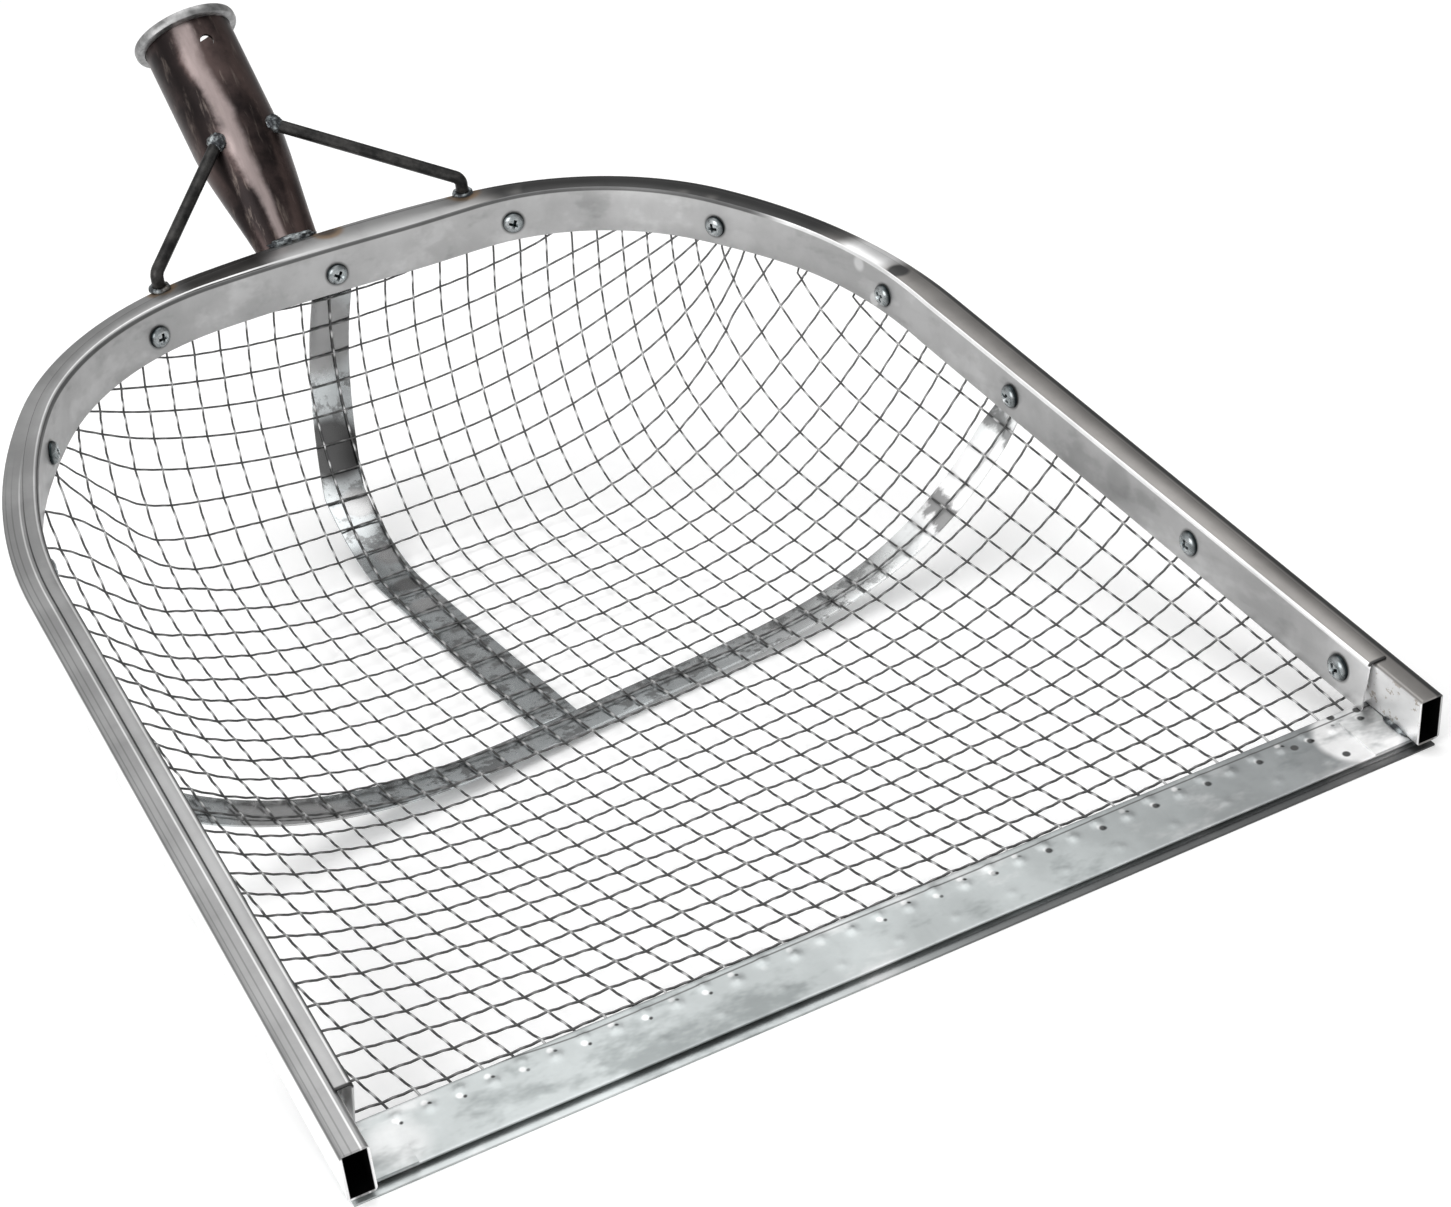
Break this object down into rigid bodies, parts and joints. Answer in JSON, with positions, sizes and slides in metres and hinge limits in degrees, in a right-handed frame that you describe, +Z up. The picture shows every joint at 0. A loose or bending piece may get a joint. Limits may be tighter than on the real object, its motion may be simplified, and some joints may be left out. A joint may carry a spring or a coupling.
{
  "type": "leaf skimmer net",
  "caption": "U-shaped tube frame with a deep woven wire bowl, clamp strip, flat support straps, a thin two-plate front lip and a flared pole socket, for scooping leaves from a pool.",
  "frame": {"origin": "centre of the footprint, on the floor plane the net rests on", "axes": "+X to the right seen from above with the lip in front, +Y from the lip towards the pole socket, +Z up from the floor"},
  "size_m": [0.417, 0.6274, 0.251],
  "materials": {
    "galvanised": "dull galvanised, lightly stained",
    "galvanised_strip": "satin sheet",
    "wire": "drawn wire, satin",
    "lip_sheet": "satin sheet",
    "screw": "bright",
    "strap": "satin strip, blue-grey",
    "socket_steel": "brown, semi-bright",
    "rod_steel": "dark, smooth",
    "weld": "rough bead with heat tint"
  },
  "bodies": {
    "root": {"frame_tube": "galvanised", "clamp_strip": "galvanised_strip", "mesh_cross_wires": "wire", "mesh_long_wires": "wire", "lip_top_plate": "lip_sheet", "lip_bottom_plate": "lip_sheet", "lip_end_plate_left": "lip_sheet", "lip_end_plate_right": "lip_sheet", "clamp_screws": "screw", "cross_strap": "strap", "spine_strap": "strap", "pole_socket": "socket_steel", "socket_rim": "socket_steel", "brace_left": "rod_steel", "brace_left_foot_weld": "weld", "brace_left_top_weld": "weld", "brace_right": "rod_steel", "brace_right_foot_weld": "weld", "brace_right_top_weld": "weld", "socket_foot_weld": "weld", "strap_joint_weld": "weld", "lip_weld_left": "weld", "lip_weld_right": "weld"}
  },
  "joints": []
}
